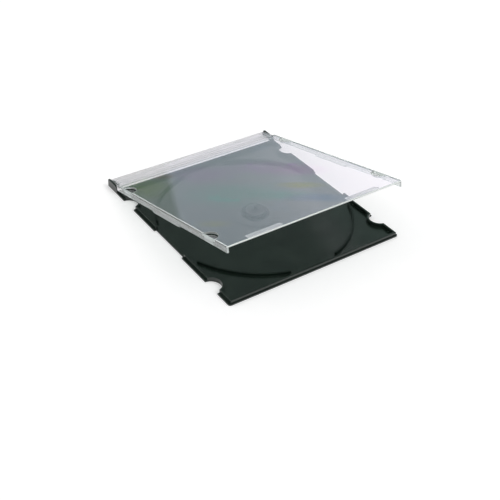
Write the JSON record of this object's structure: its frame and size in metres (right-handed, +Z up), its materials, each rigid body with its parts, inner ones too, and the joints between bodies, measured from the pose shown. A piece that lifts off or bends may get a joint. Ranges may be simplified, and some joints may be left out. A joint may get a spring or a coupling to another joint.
{
  "type": "disc case",
  "caption": "Slim case for one disc: a shallow tray with a hub and short curved ribs, and a clear lid that turns on pegs at the spine, standing part open.",
  "frame": {"origin": "centre of the tray's underside, which is also the centre of the closed case's base", "axes": "+X from the spine towards the free edge, +Y along the spine, +Z up, out of the tray"},
  "size_m": [0.142, 0.125, 0.0385],
  "materials": {
    "black_plastic": "gloss moulded polystyrene",
    "clear_plastic": "clear gloss moulded polystyrene"
  },
  "bodies": {
    "tray": {"tray": "black_plastic"},
    "lid": {"lid": "clear_plastic"}
  },
  "joints": [
    {"name": "lid_hinge", "type": "hinge", "parent": "tray", "child": "lid", "pos_m": [-0.067, 0, 0.0026], "axis": [0, -1, 0], "range_deg": [-14, 166]}
  ]
}
